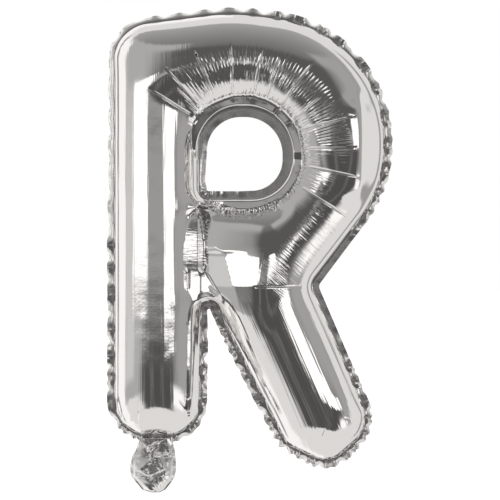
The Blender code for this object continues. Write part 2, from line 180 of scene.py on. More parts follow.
def buildStudio():
    world = bpy.data.worlds.new("studio")
    scene.world = world
    graph = Graph(world)
    direction = graph.add("ShaderNodeTexCoord").output("Generated")
    x = graph.add("ShaderNodeSeparateXYZ", None, {0: direction})
    y, z = x.output("Y"), x.output("Z")
    azimuth = x.maths("ARCTAN2", y * -1) * math.degrees(1)
    elevation = z.maths("ARCSINE") * math.degrees(1)
    pitch = z.maths("ARCTAN2", y * -1) * math.degrees(1)     # 0 at the camera, 90 straight up
    lighter, degrees = studio["ceilingLighter"]
    drop = studio["ceilingDarker"] - lighter * (pitch - studio["ceiling"][0]) / degrees
    level = studio["walls"] - pitch.band(*studio["ceiling"]) * drop
    for (left, right), (low, high), (sideSoft, endSoft), value in studioPanels:
        mask = azimuth.band(left, right, sideSoft) * elevation.band(low, high, endSoft)
        level = level * (1 - mask) + mask * value
    lit = graph.add("ShaderNodeVectorMath", {"operation": "SCALE"}, {0: studio["warmth"], "Scale": level})
    seen = graph.add("ShaderNodeLightPath").output("Is Camera Ray")
    white = (1.0, 1.0, 1.0, 1.0)
    colour = graph.add("ShaderNodeMix", {"data_type": "RGBA"}, {"Factor": seen, "A": lit, "B": white})
    background = graph.add("ShaderNodeBackground", None, {"Color": colour})
    graph.add("ShaderNodeOutputWorld", None, {"Surface": background})


def buildFloor():
    half = studio["floorSize"] / 2
    z = studio["floorHeight"]
    corners = [(-half, -half, z), (half, -half, z), (half, half, z), (-half, half, z)]
    mesh = bpy.data.meshes.new("floor")
    mesh.from_pydata(corners, [], [(0, 1, 2, 3)])
    material = bpy.data.materials.new("pale_floor")
    surface(Graph(material), {
        "Base Color": (0.85, 0.85, 0.85, 1), "Roughness": 0.9,
        "Emission Color": (1, 1, 1, 1), "Emission Strength": 0.7})
    mesh.materials.append(material)
    floor = bpy.data.objects.new("floor", mesh)
    scene.collection.objects.link(floor)
    floor.visible_glossy = False         # the studio's own panels stand for it in the foil


# Seam outlines

letter = {               # mm; corners clockwise from the top left: X, Z and radius of the round
    "outer": [
        (-107.0, 172.5, 30.0), (-16.0, 184.0, 150.0), (104.5, 169.0, 97.0), (104.5, 48.5, 93.0),
        (47.2, -28.0, 9.5), (94.5, -138.0, 26.0), (61.5, -168.5, 22.0), (27.3, -152.5, 14.0),
        (-37.8, -26.0, 5.5), (-39.8, -145.5, 27.0), (-107.0, -145.5, 28.0)],
    "counter": [(-41.0, 109.5, 33.0), (31.2, 109.5, 36.0), (31.2, 38.8, 31.0), (-40.6, 38.8, 8.0)],
    "tubeRadius": 34.5,
    "step": 1.3,                 # between neighbouring points
    "rowAngles": np.arange(0, 47, 3.2),  # degrees round the tube, for the rows beside the seams
    "room": 0.6,                 # left between the rows and the grid, in steps
    "gap": 0.15,                 # from the seam plane
}

roundShare = 0.4         # part of the way from a corner's number to the next that is its round


def roundedOutline(corners, step):
    # Points, outward normals and place of a clockwise polygon. The place is the
    # corner's number on its round, then rises to the next number along the straight.
    points, normals, places, rounds = [], [], [], []
    count = len(corners)
    for i, (x, z, radius) in enumerate(corners):
        here = np.array((x, z))
        back = np.array(corners[i - 1][:2]) - here
        ahead = np.array(corners[(i + 1) % count][:2]) - here
        back /= np.linalg.norm(back)
        ahead /= np.linalg.norm(ahead)
        half = math.acos(np.clip(back @ ahead, -1, 1)) / 2
        middle = (back + ahead) / np.linalg.norm(back + ahead)
        reach = radius / math.tan(half)
        side = 1 if back[0] * ahead[1] - back[1] * ahead[0] > 0 else -1
        centre = here + middle * radius / math.sin(half)
        rounds.append((here + back * reach, here + ahead * reach, centre, radius, side))
    for i, (start, end, centre, radius, side) in enumerate(rounds):
        first = math.atan2(start[1] - centre[1], start[0] - centre[0])
        last = math.atan2(end[1] - centre[1], end[0] - centre[0])
        sweep = (last - first + math.pi) % (2 * math.pi) - math.pi
        steps = max(2, math.ceil(abs(sweep) * radius / step))
        for k in range(steps + 1):
            angle = first + sweep * k / steps
            direction = np.array((math.cos(angle), math.sin(angle)))
            points.append(centre + direction * radius)
            normals.append(direction * side)
            places.append(i + roundShare * k / steps)
        run = rounds[(i + 1) % count][0] - end
        length = np.linalg.norm(run)
        steps = math.ceil(length / step)
        for k in range(1, steps):
            points.append(end + run * k / steps)
            normals.append(np.array((-run[1], run[0])) / length)
            places.append(i + roundShare + (1 - roundShare) * k / steps)
    return np.array(points), np.array(normals), np.array(places)


def insideLoop(points, loop):
    hit = np.zeros(len(points), bool)
    for a, b in zip(loop, np.roll(loop, -1, axis=0)):
        if a[1] != b[1]:
            at = a[0] + (points[:, 1] - a[1]) * (b[0] - a[0]) / (b[1] - a[1])
            hit ^= ((a[1] > points[:, 1]) != (b[1] > points[:, 1])) & (points[:, 0] < at)
    return hit


def nearestOn(points, loop):
    # Distance to the nearest point of a line, and that point's index
    best = np.full(len(points), np.inf)
    index = np.zeros(len(points), int)
    for k, (x, z) in enumerate(loop):
        distance = (points[:, 0] - x) ** 2 + (points[:, 1] - z) ** 2
        nearer = distance < best
        best[nearer] = distance[nearer]
        index[nearer] = k
    return np.sqrt(best), index


def distanceTo(points, loop):
    # Distance to a closed line whose points lie closer than the answers need
    return nearestOn(points, loop)[0]


def segmentFrame(points, start, end):
    # Share of the way along a segment, and distance across it, for each point
    start, end = np.array(start, float), np.array(end, float)
    run = end - start
    length = np.linalg.norm(run)
    along = ((points - start) @ run) / length ** 2
    across = ((points[:, 0] - start[0]) * run[1] - (points[:, 1] - start[1]) * run[0]) / length
    return along, across, length


# Creases, in mm: start beside the counter, end towards the tube's back, depth of
# the sharp line, depth of the broad dip beside it; below 0 for a ridge
creases = [
    ((-47.6, 104.5), (-77.0, 122.5), 0.85, 0.12),
    ((-42.1, 112.3), (-65.5, 139.0), 0.85, 0.12),
    ((-29.6, 120.9), (-43.7, 152.0), 1.20, 0.15),
    ((-14.0, 117.8), (-15.6, 156.0), 1.20, 0.15),
    ((1.6, 115.4), (8.6, 152.5), 1.15, 0.15),
    ((11.7, 116.0), (21.1, 147.0), 0.95, 0.15),
    ((17.9, 103.7), (46.5, 142.0), 1.10, 0.15),
    ((28.1, 96.7), (55.0, 118.0), 0.55, 0.1),
    ((41.3, 92.8), (79.0, 101.8), 0.85, 0.15),
    ((45.2, 77.8), (79.5, 77.5), 0.45, 0.1),
    ((45.2, 63.2), (83.0, 55.0), 0.70, 0.15),
    ((40.1, 46.6), (73.5, 25.0), 0.70, 0.15),
    ((4.3, -29.1), (52.0, -28.5), 0.40, 0.12),
    ((10.5, -2.0), (6.0, -27.5), -0.10, -0.1),
    ((-35.5, -17.0), (-12.0, -56.0), 0.45, 0.4),
    ((-100.0, -133.0), (-104.0, -114.0), 0.40, 0.3),
    ((-88.0, -134.0), (-86.0, -117.0), 0.35, 0.3),
    ((-92.5, -132.0), (-84.0, -121.0), 0.35, 0.2),
    ((-67.0, -137.0), (-74.0, -135.0), 0.30, 0.1),
    ((-46.0, -128.0), (-56.0, -116.0), 0.30, 0.2),
    ((52.0, -150.0), (56.0, -138.0), 0.35, 0.3),
    ((72.0, -149.0), (66.0, -141.0), 0.35, 0.3),
    ((83.0, -133.0), (72.0, -130.0), 0.30, 0.2),
]
creaseShape = {           # mm, and shares of a crease's length
    "half": 0.95,                # half width of the sharp line
    "broadWidth": 7.0,
    "fade": (-0.15, 0.12, 0.72, 1.08),       # starts, is full, is full, ends
    "rows": (-1.6, -0.95, -0.48, 0.0, 0.48, 0.95, 1.6),     # where the points beside it lie
    "clear": 2.2,                # half width of the strip that those rows take from the grid
    "past": 0.02,                # how far the strip runs past the ends
}

# Lens-shaped pleat in the valley between the counter and the crotch, in mm and slopes
pleat = {
    "x": -41.5, "z": -3.0,       # its fold, where it is widest
    "up": 34.0, "down": 17.0,    # its reach from there
    "left": 11.0, "right": 6.0,
    "leftSlope": 0.36, "rightSlope": 0.42,   # of its two facets
    "pointed": 0.8,              # its upper end's form, where more is sharper
    "clear": (3.0, 9.0),         # from the seam, where it starts and is full
    "tubeEnds": (-45.0, -25.0, 22.0, 34.0),  # Z where the stem beside it is drawn to a plain tube
    "tubeSide": (-62.0, -56.0),  # X over which that sets in
}

# Small gusset that fills the pleat's lower end, in mm and slopes
gusset = {
    "depth": 20.5,
    "middle": 2.5, "half": 9.0,  # beside the pleat's fold
    "slope": 0.35,               # up to both sides
    "proud": 6.0,                # most that it stands out of the natural film
    "start": (9.0, 16.0),        # below the letter's middle, where it starts and is full
}

# Flank that rises from the pleat to the crest of the bowl's arm, in mm and slopes. It
# has a steep strip beside the pleat. Its rise is curved above the knee, where it also
# faces up, and even below it.
flank = {
    "base": 0.9,                 # over the pleat's rim
    "steep": 0.62,
    "strip": (8.0, 7.0, 0.25),   # width, more below the knee, more with each mm down
    "curved": (0.40, 0.0022, 50.0),      # slope, its loss with distance, where it ends
    "even": 0.33,                # slope below the knee
    "knee": -1.0,                # its Z
    "kneeSoft": (-4.0, 5.0),     # below it, where one rise gives way to the other
    "up": 0.2, "down": 0.055,    # slopes above and below the knee
    "soft": 3.0,                 # round where it meets the natural film
    "crest": (0.0, 20.0),        # X where it gives way to the natural film
    "ends": (-74.0, -29.0, 24.0, 36.0),      # Z where it starts, is full, is full, ends
    "longer": 4.0,               # how much further up its last trace goes
    "clear": (6.0, 15.0),        # from the seam, where it starts and is full
    "sideFade": (14.0, 34.0),    # X where its last trace goes
    "turn": (-29.0, 12.0, 0.14),     # Z below which it dips, over how many mm, its slope
}

# Flat ring round the counter: place along its seam, width in mm. The film falls
# steeply to the seam at the ring's inner edge.
ring = {
    "widths": [
        (0.0, 5.0), (0.2, 9.5), (0.4, 12.0), (1.0, 12.0), (1.4, 11.5), (2.0, 11.0), (2.3, 11.0), (2.5, 9.5),
        (2.8, 8.0), (3.0, 5.0), (3.2, 0.1), (3.8, 0.1), (4.0, 5.0)],
    "edge": 1.8,             # round of the inner edge
    "tilt": -0.005,          # rise towards the counter
}

# Where the film swells less or more than a plain tube: X, Z, reach, gain
fullness = [
    (14.0, 0.0, 30.0, -0.32),
    (-73.0, -130.0, 18.0, 0.15),
    (70.0, -150.0, 20.0, 0.6),
]

# Bulge drawn on the bowl's right side, in mm: an even rise to a sharp crest
bulge = {
    "x": (50.0, 56.0, 80.5, 84.0, 94.0, 99.0),
    "shares": (0.0, 0.06, 0.96, 1.0, 0.08, 0.0),     # of its height, at those places
    "z": (28.0, 48.0, 104.0, 124.0),         # starts, is full, is full, ends
    "height": 5.4,
    "clear": (2.0, 16.0),        # from the seam, where it and the leg's swell start and are full
}
legSwell = {"x": 76.0, "z": -120.0, "reachX": 10.0, "reachZ": 18.0, "height": 2.2}

# The stem stays a straight round tube past the other strokes, in mm
stem = {
    "centre": -73.4,
    "radius": 33.6,
    "sides": (-51.0, -43.0),     # X where the pull fades
    "ends": (-112.0, -85.0, 105.0, 128.0),   # Z where it starts, is full, is full, ends
    "pull": 0.05,                # how strongly it is drawn to the tube
}

# Flat panels of the bowl: pairs of creases with a panel between them, and the
# distances in mm from the counter where the panels start, are full, are full and end
bowl = {
    "centre": np.array((-5.0, 74.0)),
    "panels": [(6, 7), (7, 8), (8, 10), (10, 11)],
    "reach": (5.0, 12.0, 34.0, 44.0),
}


def flatLetter():
    # Flat triangles of one sheet: rows that follow both seams, and an even grid that
    # gives way to the creases' own rows. Returns points, faces and the seams' indices.
    outer = roundedOutline(letter["outer"], letter["step"])
    counter = roundedOutline(letter["counter"], letter["step"])
    offsets = letter["tubeRadius"] * (1 - np.cos(np.radians(letter["rowAngles"])))
    points, faces, loops, seams = [], [], [], []
    for (seam, normal, place), side in ((outer, -1), (counter, 1)):
        count, base = len(seam), len(points)
        seams.append(np.arange(base, base + count))
        for offset in offsets:
            points.extend(seam + normal * side * offset)
        for row in range(len(offsets) - 1):
            for k in range(count):
                a, b = base + row * count + k, base + row * count + (k + 1) % count
                faces += [(a, b, b + count), (a, b + count, a + count)]
        first = base + (len(offsets) - 1) * count
        loops.append(list(range(first, first + count)))
    points = np.array(points)
    outerLoop, counterLoop = points[loops[0]], points[loops[1]]

    step = letter["step"]
    low, high = outerLoop.min(axis=0), outerLoop.max(axis=0)
    rows = np.arange(low[1], high[1], step * math.sqrt(3) / 2)
    columns = np.arange(low[0], high[0], step)
    grid = np.array([(x + step / 2 * (j % 2), z) for j, z in enumerate(rows) for x in columns])
    x, z = pleat["x"], pleat["z"]
    lines = [crease[:2] for crease in creases]
    lines.append(((x, z + pleat["up"]), (x, z - pleat["down"])))
    past = creaseShape["past"]
    extra = []
    for start, end in lines:
        along, across, length = segmentFrame(grid, start, end)
        near = (np.abs(across) < creaseShape["clear"]) & (along > -past) & (along < 1 + past)
        grid = grid[~near]
        run = (np.array(end) - start) / length
        shares = np.arange(0, length, step)
        for offset in creaseShape["rows"]:
            extra.append(start + run * shares[:, None] + np.array((run[1], -run[0])) * offset)
    grid = np.vstack([grid] + extra)
    keep = insideLoop(grid, outerLoop) & ~insideLoop(grid, counterLoop)
    room = letter["room"] * step
    keep &= distanceTo(grid, outerLoop) > room
    keep &= distanceTo(grid, counterLoop) > room
    grid = grid[keep]

    border = loops[0] + loops[1]
    cloud = [Vector(points[i]) for i in border] + [Vector(p) for p in grid]
    edges, start = [], 0
    for loop in loops:
        edges += [(start + k, start + (k + 1) % len(loop)) for k in range(len(loop))]
        start += len(loop)
    insideWithHoles, epsilon = 4, 1e-5
    cells = delaunay_2d_cdt(cloud, edges, [], insideWithHoles, epsilon)
    ids = np.array(border + list(range(len(points), len(points) + len(grid))))
    source = [ids[origin[0]] for origin in cells[3]]
    hole = set(loops[1])
    points = np.vstack([points, grid])
    for cell in cells[2]:
        face = tuple(int(source[i]) for i in cell)
        if not hole.issuperset(face) and len(set(face)) == 3:
            faces.append(face)
    return points, np.array(faces), seams, (outer, counter)


def smoothStep(value, low, high):
    t = np.clip((value - low) / (high - low), 0, 1)
    return t * t * (3 - 2 * t)


def window(value, lowEnd, lowFull, highFull, highEnd):
    # 0 outside the ends, 1 where full
    return smoothStep(value, lowEnd, lowFull) * (1 - smoothStep(value, highFull, highEnd))


def swell(points, faces, seam):
    # Half depth of the film: the root of a membrane's rise under even pressure, so
    # that a straight tube comes out round
    a, b, c = (points[faces[:, k]] for k in range(3))
    area = np.abs((b[:, 0] - a[:, 0]) * (c[:, 1] - a[:, 1]) - (b[:, 1] - a[:, 1]) * (c[:, 0] - a[:, 0]))
    area = np.maximum(area, 1e-9)
    rows, columns, weights = [], [], []
    for k in range(3):
        i, j, o = faces[:, k], faces[:, (k + 1) % 3], faces[:, (k + 2) % 3]
        weight = 0.5 * ((points[i] - points[o]) * (points[j] - points[o])).sum(axis=1) / area
        rows += [i, j]
        columns += [j, i]
        weights += [weight, weight]
    rows, columns, weights = (np.concatenate(part) for part in (rows, columns, weights))
    count = len(points)
    share = np.bincount(faces.ravel(), np.repeat(area / 6, 3), count)

    load = np.full(count, 2.0)       # this much makes a straight tube round
    for x, z, reach, gain in fullness:
        load *= 1 + gain * np.exp(-((points[:, 0] - x) ** 2 + (points[:, 1] - z) ** 2) / (2 * reach ** 2))
    pull = stem["pull"] * share * (1 - smoothStep(points[:, 0], *stem["sides"]))
    pull *= window(points[:, 1], *stem["ends"])
    tube = np.maximum(0, stem["radius"] ** 2 - (points[:, 0] - stem["centre"]) ** 2)

    diagonal = np.bincount(rows, weights, count) + pull
    diagonal[diagonal <= 0] = 1
    solution = np.zeros(count)
    free = ~seam

    def stiffness(x):
        return diagonal * x - np.bincount(rows, weights * x[columns], count)

    # conjugate gradients
    mostRounds, accuracy = 3000, 1e-12
    rest = free * (load * share + pull * tube - stiffness(solution))
    step = rest / diagonal
    energy = rest @ step
    goal = energy * accuracy
    for _ in range(mostRounds):
        pushed = free * stiffness(step)
        length = energy / (step @ pushed)
        solution += length * step
        rest = rest - length * pushed
        scaled = rest / diagonal
        following = rest @ scaled
        if following < goal:
            break
        step = scaled + step * following / energy
        energy = following
    return np.sqrt(np.maximum(solution, 0))


def faceNormals(points, faces):
    first, second, third = (points[faces[:, k]] for k in range(3))
    return np.cross(second - first, third - first)


def vertexNormals(points, faces):
    across = faceNormals(points, faces)
    normal = np.zeros_like(points)
    for k in range(3):
        for axis in range(3):
            normal[:, axis] += np.bincount(faces[:, k], across[:, axis], len(points))
    return normal / np.maximum(np.linalg.norm(normal, axis=1), 1e-12)[:, None]


def creaseHeight(points):
    height = np.zeros(len(points))
    for start, end, sharp, broad in creases:
        along, across, length = segmentFrame(points, start, end)
        fade = window(along, *creaseShape["fade"])
        away = np.abs(across)
        height -= fade * sharp * np.maximum(0, 1 - away / creaseShape["half"])
        height -= fade * broad * np.exp(-away / creaseShape["broadWidth"])
    return height


def makePiece(name, points, faces, material):
    mesh = bpy.data.meshes.new(name)
    mesh.from_pydata((points * mm).tolist(), [], [tuple(int(i) for i in f) for f in faces])
    mesh.shade_smooth()
    mesh.materials.append(material)
    piece = bpy.data.objects.new(name, mesh)
    scene.collection.objects.link(piece)
    return piece


def valleyDepth(points, natural, toSeam):
    # The film between the stem and the other strokes: two facets of the pleat with a
    # fold between them, and the flank up to the arm's crest
    x, z = points.T
    lower = z < pleat["z"]
    share = np.clip(np.abs(z - pleat["z"]) / np.where(lower, pleat["down"], pleat["up"]), 0, 1)
    spread = np.where(lower, np.sqrt(1 - share ** 4), (1 - share ** 2) ** pleat["pointed"])
    left = pleat["left"] * spread + 0.01     # never quite 0
    right = pleat["right"] * spread
    rim = np.sqrt(stem["radius"] ** 2 - (pleat["x"] - left - stem["centre"]) ** 2)
    fold = rim - pleat["leftSlope"] * left
    away = x - pleat["x"]
    past = away - np.where(lower, pleat["right"], right)
    hinge = fold + pleat["rightSlope"] * right
    hinge = np.where(lower, np.max(hinge), hinge)

    # flank
    belowKnee = np.maximum(0, flank["knee"] - z)
    even = smoothStep(flank["knee"] - z, *flank["kneeSoft"])
    rise, bend, span = flank["curved"]
    near, wider, growing = flank["strip"]
    run = np.clip(past, 0, span)
    curved = rise * run - bend * run ** 2 + (rise - 2 * bend * span) * np.maximum(0, past - span)
    slope = hinge + flank["base"] + curved * (1 - even) + flank["even"] * past * even
    slope += flank["down"] * belowKnee - flank["up"] * np.maximum(0, z - flank["knee"])
    strip = near + wider * even + growing * belowKnee
    slope -= (flank["steep"] - flank["even"]) * np.maximum(0, strip - past)
    turnAt, turnSpan, turn = flank["turn"]
    slope -= turn * np.clip(turnAt - z, 0, turnSpan)

    # the lower of flank and natural film, rounded where they meet
    weight = window(z, *flank["ends"])
    weight *= smoothStep(toSeam, *flank["clear"]) * (1 - smoothStep(x, *flank["crest"]))
    over = natural - slope
    dip = 0.5 * (over - np.sqrt(over ** 2 + flank["soft"] ** 2))
    blended = np.maximum(0, slope + dip * (1 - weight))
    highFull, highEnd = flank["ends"][2:]
    lowered = 1 - smoothStep(x, *flank["sideFade"])
    lowered *= 1 - smoothStep(z, highFull, highEnd + flank["longer"])
    blended = natural + (blended - natural) * lowered

    # the pleat's facets, with the stem's plain tube to their left
    facets = fold + np.where(away < 0, -pleat["leftSlope"], pleat["rightSlope"]) * away
    tube = np.sqrt(np.maximum(0, stem["radius"] ** 2 - (x - stem["centre"]) ** 2))
    beside = window(z, *pleat["tubeEnds"]) * smoothStep(x, *pleat["tubeSide"])
    inside = np.where(away < right, np.minimum(natural, facets), blended)
    shaped = np.where(away < -left, natural + (tube - natural) * beside, inside)

    fromMiddle = np.abs(away - gusset["middle"])
    filled = np.minimum(gusset["depth"] + gusset["slope"] * fromMiddle, natural + gusset["proud"])
    filling = smoothStep(-z, *gusset["start"]) * (fromMiddle < gusset["half"])
    shaped += np.maximum(0, filled - shaped) * filling
    return natural + (shaped - natural) * smoothStep(toSeam, *pleat["clear"])


def bulgeDepth(points):
    x, z = points.T
    extra = bulge["height"] * np.interp(x, bulge["x"], bulge["shares"]) * window(z, *bulge["z"])
    acrossLeg = (x - legSwell["x"]) / legSwell["reachX"]
    alongLeg = (z - legSwell["z"]) / legSwell["reachZ"]
    return extra + legSwell["height"] * np.exp(-acrossLeg ** 2 / 2 - alongLeg ** 2 / 2)


def ringDepth(natural, toCounter, place):
    # The flat ring's depth where the film would otherwise be lower
    width = np.interp(place, *np.array(ring["widths"]).T)
    level = np.sqrt(np.maximum(0, 2 * letter["tubeRadius"] * width - width ** 2))
    level += ring["tilt"] * (width - toCounter)
    edge = np.clip(1 - toCounter / ring["edge"], 0, 1)
    return np.where(toCounter < width, np.maximum(natural, level * np.sqrt(1 - edge ** 2)), natural)


def flattenFacets(points, toCounter):
    # Draws the film in to a chord between two creases, where the bowl's bend would be round
    moved = points.copy()
    weight = window(toCounter, *bowl["reach"])
    fromCentre = points - bowl["centre"]
    radius = np.linalg.norm(fromCentre, axis=1)
    for first, second in bowl["panels"]:
        a = segmentFrame(points, *creases[first][:2])[1]
        b = -segmentFrame(points, *creases[second][:2])[1]
        ahead = fromCentre @ (np.array(creases[first][1]) - bowl["centre"]) > 0
        draw = np.where((a > 0) & (b > 0) & ahead, weight * a * b / (2 * radius), 0)
        moved -= fromCentre / radius[:, None] * draw[:, None]
    return moved


def buildFilms(material):
    points, faces, seams, outlines = flatLetter()
    print("flat sheet:", len(points), "points,", len(faces), "triangles")
    (outerLine, _, _), (counterLine, _, counterPlace) = outlines
    seam = np.zeros(len(points), bool)
    seam[np.concatenate(seams)] = True
    depth = swell(points, faces, seam)
    toCounter, nearest = nearestOn(points, counterLine)
    toSeam = np.minimum(toCounter, distanceTo(points, outerLine))
    depth = valleyDepth(points, depth, toSeam)
    depth += bulgeDepth(points) * smoothStep(toSeam, *bulge["clear"])
    depth = ringDepth(depth, toCounter, counterPlace[nearest])
    depth[seam] = 0
    print("deepest half:", round(float(depth.max()), 1), "mm")
    shaped = flattenFacets(points, toCounter)
    front = np.column_stack([shaped[:, 0], -depth - letter["gap"], shaped[:, 1]])
    flip = faceNormals(front, faces)[:, 1] > 0
    faces[flip] = faces[flip][:, ::-1]
    normal = vertexNormals(front, faces)
    for ids, (line, out, place), side in zip(seams, outlines, (1, -1)):
        normal[ids] = np.column_stack([out[:, 0] * side, np.zeros(len(ids)), out[:, 1] * side])
    height = creaseHeight(points)
    height[seam] = 0
    front += normal * height[:, None]
    for name, side in (("front_foil", 1), ("back_foil", -1)):
        piece = makePiece(name, front * (1, side, 1), faces[:, ::side], material)
        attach(piece, "balloon")
        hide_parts(name.replace("foil", "film"))


# Both welded margins, in mm and degrees
marginShape = {
    "thickness": 0.25,
    "rows": 7,                   # of points across the band
    "step": 0.7,                 # between points along it
    "bend": (0.05, 0.55),        # shares of the width over which it turns to its lean
    "tiltGain": 2.2,             # how fast the thickness turns with it
    "steepest": 86,
    "joinFade": 8.0,             # the swings fade at both ends, so that the loop meets itself
    "sharpEdge": 50,
    # how uneven it is: mm between random values, mm past the line's end, their spread
    "pitch": (9.0, 18.0, 0.55, 1.7),
    "crush": (3.5, 8.0, 0, 0.20),
    "height": (15.0, 30.0, 0.45, 1.15),
}

# The welded margins lean and swing out of the seam plane. Place along the outline
# (corner's number, 0.4 of the way to the next for its round), lean back from the
# plane in degrees, swing to either side in degrees, pitch of the swings in mm, width
# in mm.
outerMargin = {
    "name": "outer_margin",
    "replaces": "outer_seam",
    "tuck": 1.2,                 # mm of the band that lies between the films
    "seed": 4,
    "places": [
        (0.0, 60, 14, 20, 6.2), (0.4, 60, 20, 22, 6.8), (1.0, 60, 22, 26, 6.8), (1.4, 56, 28, 24, 6.5),
        (1.8, 46, 42, 24, 6.2), (2.0, 26, 62, 24, 6.0), (2.4, 8, 74, 26, 6.0), (3.0, 5, 74, 26, 6.0),
        (3.3, 5, 60, 22, 5.5), (3.4, 3, 30, 18, 5.0), (3.6, 0, 3, 20, 4.6), (4.4, 0, 2, 20, 4.6),
        (4.75, 2, 8, 20, 4.6), (4.85, 5, 60, 16, 5.2), (5.4, 10, 72, 15, 6.0), (6.4, 10, 75, 14, 7.2),
        (7.0, 5, 66, 15, 5.4), (7.4, 0, 62, 20, 6.4), (7.85, 0, 55, 20, 6.6), (8.0, 0, 12, 16, 4.5),
        (8.4, 0, 8, 16, 4.0), (8.6, 20, 46, 24, 5.2), (9.0, 10, 62, 18, 5.2), (9.4, 5, 66, 15, 5.8),
        (9.7, 0, 28, 18, 4.3), (10.0, 5, 62, 16, 5.0), (10.4, 10, 62, 20, 5.4), (10.6, 15, 52, 26, 5.2),
        (10.8, 58, 16, 30, 5.6), (11.0, 60, 14, 24, 6.0)],
}
counterMargin = {
    "name": "counter_margin",
    "replaces": "counter_seam",
    "tuck": 1.0,
    "seed": 9,
    "places": [
        (0.0, 10, 3, 24, 6.4), (0.4, 0, 2, 30, 6.6), (2.4, 0, 3, 30, 6.6), (2.6, 5, 10, 14, 6.2),
        (3.0, 0, 16, 11, 6.4), (3.4, 30, 14, 12, 6.2), (3.6, 50, 6, 20, 6.0), (3.85, 25, 4, 24, 6.2),
        (4.0, 10, 3, 24, 6.4)],
}


def uneven(draw, distance, every, spare, *spread):
    # A random value every few mm along a line, and straight in between
    knots = np.arange(0, distance[-1] + spare, every)
    return np.interp(distance, knots, draw(*spread, len(knots)))


def wander(distance, pitch, seed):
    # Phase of a wave whose pitch follows a list and strays from it at random
    random = np.random.default_rng(seed)
    stray = uneven(random.uniform, distance, *marginShape["pitch"])
    steps = np.diff(distance, prepend=0)
    return np.cumsum(steps * stray / pitch) * 2 * math.pi


def pleatWave(phase):
    # Between a sine and a zigzag, which 1.37, the arcsine of 0.98, brings to the same height
    return 0.5 * np.sin(phase) + 0.5 * np.arcsin(0.98 * np.sin(phase)) / 1.37


def buildMargin(spec, corners, side, material):
    line, normal, place = roundedOutline(corners, marginShape["step"])
    normal = normal * side
    count, rows = len(line), marginShape["rows"]
    table = np.array(spec["places"], float)
    lean, swing, pitch, width = (np.interp(place, table[:, 0], table[:, k]) for k in range(1, 5))
    distance = np.concatenate([[0], np.cumsum(np.linalg.norm(np.diff(line, axis=0), axis=1))])
    wave = pleatWave(wander(distance, pitch, spec["seed"]))
    random = np.random.default_rng(spec["seed"] + 1)
    crush = uneven(random.normal, distance, *marginShape["crush"])
    wave = wave * uneven(random.uniform, distance, *marginShape["height"])
    join = np.clip(np.minimum(distance, distance[-1] - distance) / marginShape["joinFade"], 0, 1)
    steepest = marginShape["steepest"]
    angle = np.radians(np.clip(lean + swing * (wave + crush) * join, -steepest, steepest))
    reach = width + spec["tuck"]
    layers = []
    outward = np.full(count, -spec["tuck"])
    back = np.zeros(count)
    for share in np.linspace(0, 1, rows):
        layers.append((outward, back, angle * min(1, share * marginShape["tiltGain"])))
        local = angle * smoothStep(share, *marginShape["bend"])
        outward = outward + np.cos(local) * reach / (rows - 1)
        back = back + np.sin(local) * reach / (rows - 1)
    points = []
    for shift in (-0.5 * marginShape["thickness"], 0.5 * marginShape["thickness"]):
        for outward, back, tilt in layers:
            flat = line + normal * (outward - shift * np.sin(tilt))[:, None]
            points.append(np.column_stack([flat[:, 0], back + shift * np.cos(tilt), flat[:, 1]]))
    points = np.concatenate(points)
    faces = []
    skin = rows * count
    for row in range(rows - 1):
        for k in range(count):
            a, b = row * count + k, row * count + (k + 1) % count
            faces.append((a, b, b + count, a + count))
            faces.append((a + skin, a + count + skin, b + count + skin, b + skin))
    for k in range(count):
        n = (k + 1) % count
        last = (rows - 1) * count
        faces.append((k, k + skin, n + skin, n))
        faces.append((last + k, last + n, last + n + skin, last + k + skin))
    if side < 0:
        faces = [f[::-1] for f in faces]
    piece = makePiece(spec["name"], points, faces, material)
    piece.data.set_sharp_from_angle(angle=math.radians(marginShape["sharpEdge"]))
    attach(piece, "balloon")
    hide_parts(spec["replaces"])


# Fill tail, in mm: height, left and right edge from its middle, half depth
tail = {
    "middle": -76.0,
    "outline": [
        (-147.5, -10.5, 14.0, 0.6), (-152.0, -12.0, 15.3, 0.9), (-157.6, -14.5, 16.5, 2.6),
        (-162.0, -16.8, 16.9, 3.8), (-168.0, -18.0, 17.5, 5.6), (-172.4, -18.3, 17.4, 6.4),
        (-177.0, -17.6, 16.5, 6.6), (-181.0, -14.5, 14.5, 5.8), (-185.0, -11.0, 11.5, 4.6),
        (-187.6, -8.9, 9.2, 3.6), (-189.8, -2.0, 5.0, 2.6)],
    "sheets": [("tail_front_foil", -1, 21), ("tail_back_foil", 1, 22)],    # side, seed of its crumples
    "columns": 60,
    "rows": 72,
    "thickness": 0.12,
    "weld": 0.14,                # share of the width that is welded flat at each edge
    "fuller": 0.8,               # form of the swell between the welds, where less is fuller
    "gap": (0.2, 0.3, 3),        # between the sheets: at the welds, more inside, how soon
    "curl": 0.6,                 # how far the welded edges lean back
    "curlWave": (0.6, 0.8),      # how much and how fast that varies
    "mouth": (177, 184),         # below the letter's middle, where the welds open and lie straight
    "top": 5.0,                  # from the upper end, over which folds and curl set in
    "weldFolds": 0.35,           # share of the folds' height at the welds
    "crisp": 1.2,                # form of the folds' ridges, where more is sharper
    "deepest": 0.8,              # share of the swell that a fold may dent
    "bend": (-149.6, -156.0),    # heights between which the film follows the fold
}

